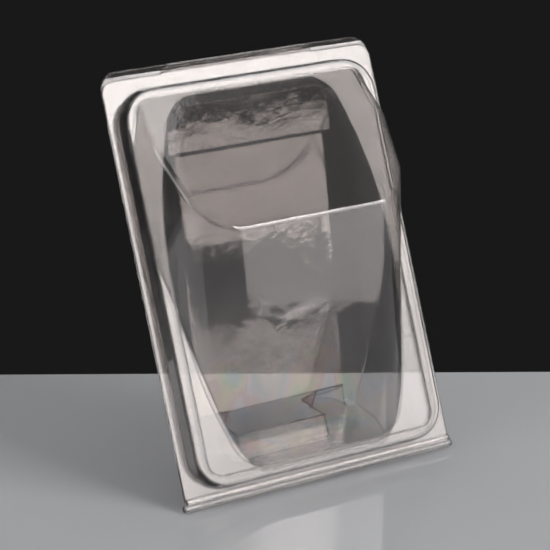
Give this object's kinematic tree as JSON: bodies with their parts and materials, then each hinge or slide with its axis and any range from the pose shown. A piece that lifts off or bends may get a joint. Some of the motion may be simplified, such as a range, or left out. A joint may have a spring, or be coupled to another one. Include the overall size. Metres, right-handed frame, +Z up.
{
  "type": "clear plastic clamshell pack",
  "caption": "Clear hinged clamshell pack with a domed lid and a deep tray, leaning back on its fold and foot",
  "frame": {"origin": "on the surface the pack stands on, under the middle of its bounding box", "axes": "+Z up, +X across the pack along the fold, -Y towards the front, where the domed lid faces"},
  "size_m": [0.141, 0.078, 0.1794],
  "materials": {
    "clear_sheet": "clear glossy thermoformed sheet, faintly grey"
  },
  "bodies": {
    "tray": {"rear_tray": "clear_sheet"},
    "lid": {"front_lid": "clear_sheet"}
  },
  "joints": [
    {"name": "lid_fold", "type": "hinge", "parent": "tray", "child": "lid", "pos_m": [0, -0.03397, 0.0015], "axis": [1, 0, 0], "range_deg": [0, 180]}
  ]
}
